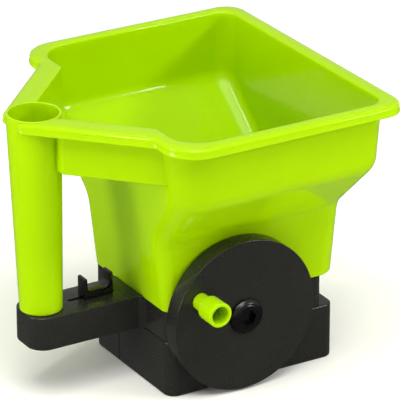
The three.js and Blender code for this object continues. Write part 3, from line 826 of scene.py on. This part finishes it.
def hopper_inside():
    """Rings down the inside: the tray, the tub, the funnel and the port, and back under them."""
    rings, like = tray_inside()
    low, top = hopper_low.z, FUNNEL["top"]
    levels = [*fold_levels()[::-1], *np.linspace(FOLDS[0] - 8 * MM, top + 2 * MM, 4)]
    rings += [whole(plain_ring(tub(z, WALL), like), z) for z in levels]
    neck = plain_ring(tub(top, WALL), like)
    port = port_ring(0.0, like)
    port_top = low + 3 * MM
    for share in np.linspace(0, 1, 9):
        rings.append(whole(neck + (port - neck) * share, top + (port_top - top) * share))
    rings.append(whole(port, low))
    outer = port_ring(WALL, like)
    spout = 1.4 * MM
    rings.append(whole(outer, low))
    rings.append(whole(outer, low + spout))
    thick = 2.5 * MM
    skirt = plain_ring(tub(top - thick, WALL), like)
    for share in np.linspace(0.1, 1, 7):
        z = low + spout + (top - thick - spout - low) * share
        rings.append(whole(outer + (skirt - outer) * share, z))
    rings.append(whole(plain_ring(tub(low, WALL), like), low))
    return rings


def port_ring(grow, like):
    x, length, half = FUNNEL["port_x"], FUNNEL["length"], FUNNEL["half"]
    radius = 1.0 * MM + grow / 2
    corners = [
        (x + length / 2 + grow, half + grow, radius),
        (x - length / 2 - grow, half + grow, radius),
    ]
    return plain_ring(corners, like)


def handle_tube():
    """The tapered handle, with its cup above a web and its socket below."""
    foot, top = HANDLE_FOOT, RIM_TOP
    lip, lip_wall = 0.55 * MM, 1.8 * MM
    floor, web = CUP["floor"], CUP["floor"] - CUP["web"]

    def outer(z):
        share = (z - foot) / (top - foot)
        return HANDLE["foot_r"] + (HANDLE["top_r"] - HANDLE["foot_r"]) * share

    profile = soft_profile(
        [
            (0.0, web, 0),
            (outer(web) - WALL, web, 1.0 * MM),
            (outer(foot) - WALL, foot, 0.5 * MM),
            (outer(foot), foot, 0.7 * MM),
            (outer(top), top, lip),
            (outer(top) - lip_wall, top, lip),
            (outer(floor) - WALL, floor, 3.5 * MM),
            (0.0, floor, 0),
        ],
        steps=5,
    )
    bm = turned(profile, 96)
    lean = (HANDLE["top_x"] - HANDLE["foot_x"]) / (top - foot)
    for vert in bm.verts:
        vert.co.x += HANDLE["foot_x"] + (vert.co.z - foot) * lean
    return bm


def make_hopper(material):
    """The hopper with its rim, tray and handle. The handle's place is cleared before it joins."""
    rings = hopper_outside() + hopper_rim() + hopper_inside()
    hopper = finish_mesh(loft(rings, closed=True), "hopper_shell", "base", material)
    plug_r = 17.3 * MM
    plug = rod(190 * MM, 210 * MM, plug_r, plug_r, 96)
    place(plug, (HANDLE["top_x"], 0, 0))
    combine(hopper, tool(plug), "DIFFERENCE")
    core = rod(70 * MM, 192 * MM, 13.5 * MM, 16 * MM, 48)
    place(core, (HANDLE["top_x"] + 0.6 * MM, 0, 0))
    combine(hopper, tool(core), "DIFFERENCE")
    combine(hopper, tool(handle_tube()), "UNION", smooth=38.0)
    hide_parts("hopper")


# ---------------------------------------------------------------- base
platform_low, platform_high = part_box("platform_arm")
box_low, box_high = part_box("base_box")
ARM = {"end": platform_low.x, "half": 17.7 * MM, "r": 12 * MM, "bottom": 40.7 * MM, "top": 63.1 * MM}
DECK = {"bottom": platform_low.z, "top": 61.35 * MM}
COLUMN = {"half": 5 * MM, "r": 4.9 * MM, "low": 55 * MM, "high": 62 * MM}
SLOT = {"rear": -113.2 * MM, "front": -78 * MM, "half": 1.6 * MM, "r": 1.4 * MM, "depth": 5 * MM}
TICKS = {"count": 5, "first": -111.5 * MM, "pitch": 7 * MM, "side": -6.2 * MM}
TICK = {"width": 0.55 * MM, "long": 3.2 * MM, "short": 2.0 * MM, "height": 0.25 * MM, "ease": 0.12 * MM}
WELL = {"rear": -58 * MM, "front": 48 * MM, "half": 44 * MM, "r": 3 * MM}
OUTLET = {"low": 7 * MM, "high": 33 * MM, "half": 38 * MM, "r": 5 * MM}
OUTLET_CUT = (50 * MM, 75 * MM)
SEAM = {"y": 16.5 * MM, "half": 0.4 * MM, "depth": 0.5 * MM}
BOX_R = 8 * MM
SHELL = 2.5 * MM


def make_platform(material):
    """The deck under the hopper and the arm that reaches back to the handle."""
    rear, front, half = box_low.x, platform_high.x, box_high.y
    root = 5.5 * MM
    corners = [
        (front, half, BOX_R),
        (rear, half, BOX_R),
        (rear, ARM["half"], root),
        (ARM["end"], ARM["half"], ARM["r"]),
        (ARM["end"], -ARM["half"], ARM["r"]),
        (rear, -ARM["half"], root),
        (rear, -half, BOX_R),
        (front, -half, BOX_R),
    ]
    edges = {"low_edge": 0.5 * MM, "high_edge": 0.7 * MM}
    platform = finish_mesh(
        eased_prism(corners, DECK["bottom"], ARM["top"], **edges, steps=3, arc=10),
        "platform",
        "base",
        material,
    )
    neck_rear = TUB["rear"][0][1] - 0.7 * MM
    seat_low = (neck_rear, -half - MM, DECK["top"])
    seat_high = (front + MM, half + MM, 90 * MM)
    combine(platform, box_tool(seat_low, seat_high), "DIFFERENCE")
    hollow = inset_corners(rectangle(rear, front, half, BOX_R), SHELL)
    arm_hollow = rectangle(ARM["end"] + SHELL, rear, ARM["half"] - SHELL, ARM["r"] - SHELL, 0)
    for outline, top in ((hollow, DECK["top"]), (arm_hollow, ARM["top"])):
        room = eased_prism(outline, DECK["bottom"] - MM, top - SHELL)
        combine(platform, tool(room), "DIFFERENCE")
    column = rectangle(-COLUMN["half"], COLUMN["half"], COLUMN["half"], COLUMN["r"])
    column = eased_prism(column, COLUMN["low"], COLUMN["high"])
    place(column, (HANDLE["foot_x"], 0, 0))
    combine(platform, tool(column), "UNION")
    slot = rectangle(SLOT["rear"], SLOT["front"], SLOT["half"], SLOT["r"])
    slot = eased_prism(slot, ARM["top"] - SLOT["depth"], ARM["top"] + MM)
    combine(platform, tool(slot), "DIFFERENCE")
    reach, half_port = FUNNEL["length"] / 2 + MM, FUNNEL["half"] + MM
    port_low = (FUNNEL["port_x"] - reach, -half_port, DECK["top"] - 5 * MM)
    port_high = (FUNNEL["port_x"] + reach, half_port, DECK["top"] + MM)
    combine(platform, box_tool(port_low, port_high), "DIFFERENCE")
    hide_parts("platform_arm")


def make_graduations(material):
    """Generic ticks beside the slider's slot, long and short by turns, raised from the arm."""
    bm = bmesh.new()
    for i in range(TICKS["count"]):
        centre = (TICKS["first"] + i * TICKS["pitch"], TICKS["side"])
        add_tick(bm, centre, TICK["short"] if i % 2 else TICK["long"])
    finish_mesh(bm, "scale_ticks", "base", material)


def add_tick(bm, centre, length):
    """A small chamfered bar, a hair into the arm's top, centred on (x, y)."""
    x, y = centre
    low = ARM["top"] - 0.05 * MM
    high = low + TICK["height"]
    rows = []
    for inset, z in ((0, low), (0, high - TICK["ease"]), (TICK["ease"], high)):
        half_x, half_y = TICK["width"] / 2 - inset, length / 2 - inset
        corners = rectangle(x - half_x, x + half_x, half_y, 0)
        rows.append([bm.verts.new((corner_x, y + corner_y, z)) for corner_x, corner_y, _ in corners])
    for lower, upper in zip(rows, rows[1:]):
        for i in range(len(lower)):
            j = (i + 1) % len(lower)
            bm.faces.new((lower[i], lower[j], upper[j], upper[i]))
    bm.faces.new(rows[0][::-1])
    bm.faces.new(rows[-1])


def make_base_box(material):
    """The lower box, open below, with the outlet in its front wall."""
    rear, front, half, top = box_low.x, box_high.x, box_high.y, box_high.z
    corners = rectangle(rear, front, half, BOX_R)
    box = finish_mesh(
        eased_prism(corners, 0.0, top, low_edge=1.4 * MM, high_edge=1.2 * MM, steps=4, arc=12),
        "base_shell",
        "base",
        material,
    )
    hollow = inset_corners(corners, SHELL)
    combine(box, tool(eased_prism(hollow, -MM, top - SHELL)), "DIFFERENCE")
    well = rectangle(WELL["rear"], WELL["front"], WELL["half"], WELL["r"])
    combine(box, tool(eased_prism(well, top - 2 * SHELL, top + MM)), "DIFFERENCE")
    outline = rectangle(OUTLET["low"], OUTLET["high"], OUTLET["half"], OUTLET["r"])
    mouth = eased_prism(outline, *OUTLET_CUT)
    turn = Matrix(((0, 0, 1), (0, 1, 0), (1, 0, 0))).to_4x4()
    bmesh.ops.transform(mouth, matrix=turn, verts=mouth.verts)
    combine(box, tool(mouth), "DIFFERENCE")
    seam = eased_prism(rectangle(rear - MM, rear + SEAM["depth"], SEAM["half"], 0), -MM, top + MM)
    place(seam, (0, SEAM["y"], 0))
    combine(box, tool(seam), "DIFFERENCE")
    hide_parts("base_box")


# ---------------------------------------------------------------- crank
drum_low, drum_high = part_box("crank_drum")
DRUM_X = (drum_low.x + drum_high.x) / 2
DRUM_Z = (drum_low.z + drum_high.z) / 2
DRUM_R = (drum_high.x - drum_low.x) / 2
DRUM_BACK, DRUM_FACE = -drum_high.y, -drum_low.y
RING_TEETH = 60
RING_PITCH = 45 * MM
TOOTH = {"tip": 0.36, "root": 0.22}
KNOB_X, KNOB_Z = DRUM_X - 35 * MM, DRUM_Z + 19 * MM
PIN_HOLE = 3.2 * MM
PLAY = 0.3 * MM
RIGHT = (0, -1, 0)


def tooth_turns():
    """The angles of the ring's tooth corners, each with whether it lies on a tooth's tip."""
    gap = FULL_TURN / RING_TEETH
    tip, root = TOOTH["tip"], TOOTH["root"]
    for i in range(RING_TEETH):
        for share, on_tip in ((-tip, True), (-root, False), (root, False), (tip, True)):
            yield gap * (i + share), on_tip


def make_drum(material):
    """The drum: a face plate with a hub, and a rim with the ring gear's teeth inside it."""
    inner = RING_PITCH + 2.4 * MM
    root, tip = RING_PITCH + 1.7 * MM, RING_PITCH - 1.35 * MM
    plate, bore, hub = 2.5 * MM, 6.6 * MM, 9.5 * MM
    back, face = DRUM_BACK, DRUM_FACE
    hub_back = back + 2 * MM
    gear_low, gear_high = back + 0.6 * MM, face - plate - 1.9 * MM
    profile = soft_profile(
        [
            (bore, hub_back, 0),
            (hub, hub_back, 0.4 * MM),
            (hub, face - plate, 1.0 * MM),
            (inner, face - plate, 1.0 * MM),
            (inner, gear_high, 0),
        ],
        steps=5,
    )
    edge = soft_profile(
        [
            (inner, gear_low, 0),
            (inner, back, 0.4 * MM),
            (DRUM_R, back, 0.7 * MM),
            (DRUM_R, face, 0.55 * MM),
            (bore, face, 0),
        ],
        steps=5,
    )
    turns = list(tooth_turns())
    teeth = [tip if on_tip else root for _, on_tip in turns]
    stations = [*profile, (teeth, gear_high), (teeth, gear_low), *edge]
    rings = []
    for radii, h in stations:
        radii = np.broadcast_to(radii, len(turns))
        rings.append([(r * math.cos(t), r * math.sin(t), h) for r, (t, _) in zip(radii, turns)])
    drum = loft(rings, closed=True)
    place(drum, (DRUM_X, 0, DRUM_Z), RIGHT)
    drum = finish_mesh(drum, "drum", "crank", material)
    hole = rod(50 * MM, 70 * MM, PIN_HOLE, PIN_HOLE, 32)
    place(hole, (KNOB_X, 0, KNOB_Z), RIGHT)
    combine(drum, tool(hole), "DIFFERENCE")
    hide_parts("crank_drum")


def make_knob(material):
    """The knob: a neck, a barrel, and a hollow end round the head of its pin."""
    neck, barrel, bore = 6 * MM, 8.5 * MM, 6.1 * MM
    low, seat = DRUM_FACE + PLAY, 77.6 * MM
    knob_low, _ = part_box("crank_knob")
    end = -knob_low.y
    shoulder = low + 9 * MM
    profile = soft_profile(
        [
            (PIN_HOLE, low, 0),
            (neck, low, 0.5 * MM),
            (neck, shoulder, 1.2 * MM),
            (barrel, shoulder + 2.4 * MM, 1.6 * MM),
            (barrel, end, 0.9 * MM),
            (bore, end, 0.5 * MM),
            (bore, seat, 0.8 * MM),
            (PIN_HOLE, seat, 0),
        ],
        steps=5,
    )
    knob = turned(profile, 72, (KNOB_X, 0, KNOB_Z), RIGHT)
    knob = finish_mesh(knob, "knob", "knob", material)
    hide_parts("crank_knob")


def make_bolt(material):
    """The domed bolt with a hexagonal socket and a fine ring on its head."""
    low = DRUM_FACE + PLAY
    top = low + 4.2 * MM
    head, shank, end = 12.2 * MM, 4 * MM, 37 * MM
    profile = soft_profile(
        [
            (0.0, end, 0),
            (shank, end, 0.6 * MM),
            (shank, low, 0.3 * MM),
            (head, low, 0.2 * MM),
            (head, low + 1.6 * MM, 1.0 * MM),
            (9.8 * MM, top - 0.35 * MM, 0.8 * MM),
            (9.0 * MM, top - 0.62 * MM, 0.3 * MM),
            (8.4 * MM, top - 0.25 * MM, 0.3 * MM),
            (6.0 * MM, top, 0.5 * MM),
            (0.0, top, 0),
        ],
        steps=4,
    )
    origin = (DRUM_X, 0, DRUM_Z)
    bolt = turned(profile, 96, origin, RIGHT)
    bolt = finish_mesh(bolt, "bolt", "base", material)
    sides, across, depth = 6, 9.7 * MM, 3.4 * MM
    first = math.radians(12)
    angles = [FULL_TURN * i / sides + first for i in range(sides)]
    reach = across / math.sqrt(3)
    hexagon = [(reach * math.cos(angle), reach * math.sin(angle)) for angle in angles]
    socket = loft([flat_ring(hexagon, top - depth), flat_ring(hexagon, top + MM)])
    place(socket, origin, RIGHT)
    combine(bolt, tool(socket), "DIFFERENCE")
    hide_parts("axle_bolt")


# ---------------------------------------------------------------- slider and spinner
def side_prism(outline, half, ease):
    """A prism along Y whose two side edges are rounded. The outline is in (x, z)."""
    rings = []
    for side in (-1, 1):
        angles = quarter(3) if side < 0 else quarter(3)[::-1]
        for angle in angles:
            inset = ease * (1 - math.sin(angle))
            y = side * (half - ease * (1 - math.cos(angle)))
            points = rounded(inset_corners(outline, inset), 5)
            rings.append([(x, y, z) for x, z in points])
    return loft(rings)


def make_slider(material):
    """The slider: two finger tabs on a low web, with a socket below for the gate's tongue."""
    low_corner, high_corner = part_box("flow_slider")
    low, half = low_corner.z, high_corner.y
    rear, front = low_corner.x, high_corner.x
    rear_top, front_top = high_corner.z - MM, high_corner.z
    tab, lean = 2.6 * MM, 0.4 * MM
    tip_r, foot_r, web = 1.25 * MM, 0.4 * MM, 68.8 * MM
    corners = [
        (rear, low, foot_r),
        (front, low, foot_r),
        (front, front_top, tip_r),
        (front - tab, front_top, tip_r),
        (front - tab - lean, web, 5 * MM),
        (rear + tab + lean, web, 2 * MM),
        (rear + tab, rear_top, tip_r),
        (rear, rear_top, tip_r),
    ]
    slider = side_prism(corners, half, 0.6 * MM)
    slider = finish_mesh(slider, "slider", "gate", material)
    socket_low = (-98.3 * MM, -1.5 * MM, low - MM)
    socket_high = (-87.7 * MM, 1.5 * MM, 66.3 * MM)
    combine(slider, box_tool(socket_low, socket_high), "DIFFERENCE")
    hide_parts("flow_slider")


def make_spinner(material):
    """The spinner: a round plate on a hub, with straight blades standing on it."""
    low_corner, high_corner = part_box("spinner")
    centre = ((low_corner.x + high_corner.x) / 2, 0, 0)
    radius, low, high = (high_corner.x - low_corner.x) / 2, low_corner.z, high_corner.z
    plate_low, plate_high = low + 0.3 * MM, low + 2.3 * MM
    bore, hub = 2.8 * MM, 6 * MM
    profile = soft_profile(
        [
            (bore, low, 0),
            (hub, low, 0.2 * MM),
            (hub + MM, plate_low, 0.2 * MM),
            (radius, plate_low, 0.7 * MM),
            (radius, plate_high, 0.7 * MM),
            (hub, plate_high, 1.5 * MM),
            (hub, high, 0.8 * MM),
            (bore, high, 0),
        ],
        steps=4,
    )
    spinner = turned(profile, 96, centre)
    spinner = finish_mesh(spinner, "spinner_disc", "rotor", material)
    blades, first = 6, 0.25
    outline = rectangle(hub - MM, radius - MM, 0.9 * MM, 0.6 * MM)
    for i in range(blades):
        blade = eased_prism(outline, plate_high - 0.4 * MM, high, high_edge=0.5 * MM)
        angle = FULL_TURN * (i + first) / blades
        bmesh.ops.transform(blade, matrix=Matrix.Rotation(angle, 4, "Z"), verts=blade.verts)
        place(blade, centre)
        combine(spinner, tool(blade), "UNION")
    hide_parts("spinner")


# ---------------------------------------------------------------- build
make_camera()
make_studio()

green = green_material()
black = black_material()
gloss_black = gloss_black_material()
natural = natural_material()
zinc = metal("zinc_steel", rgb(196, 198, 200), rgb(168, 171, 175), 0.34, 900)
dark_steel = metal("black_steel", rgb(66, 66, 68), rgb(58, 58, 60), 0.2, 700)
brass = metal("brass", rgb(206, 172, 96), rgb(182, 146, 74), 0.3, 1100)
slot_materials = {
    "green_plastic": green,
    "black_plastic": black,
    "gloss_black_plastic": gloss_black,
    "natural_plastic": natural,
    "zinc_steel": zinc,
    "black_steel": dark_steel,
    "brass": brass,
}

make_hopper(green)
make_platform(black)
make_graduations(black)
make_base_box(black)
make_drum(black)
make_knob(green)
make_bolt(dark_steel)
make_slider(gloss_black)
make_spinner(green)

for entry in frame["record"]["subparts"]:
    paint(frame["nodes"][entry["node"]], slot_materials[entry["material_slot"]])
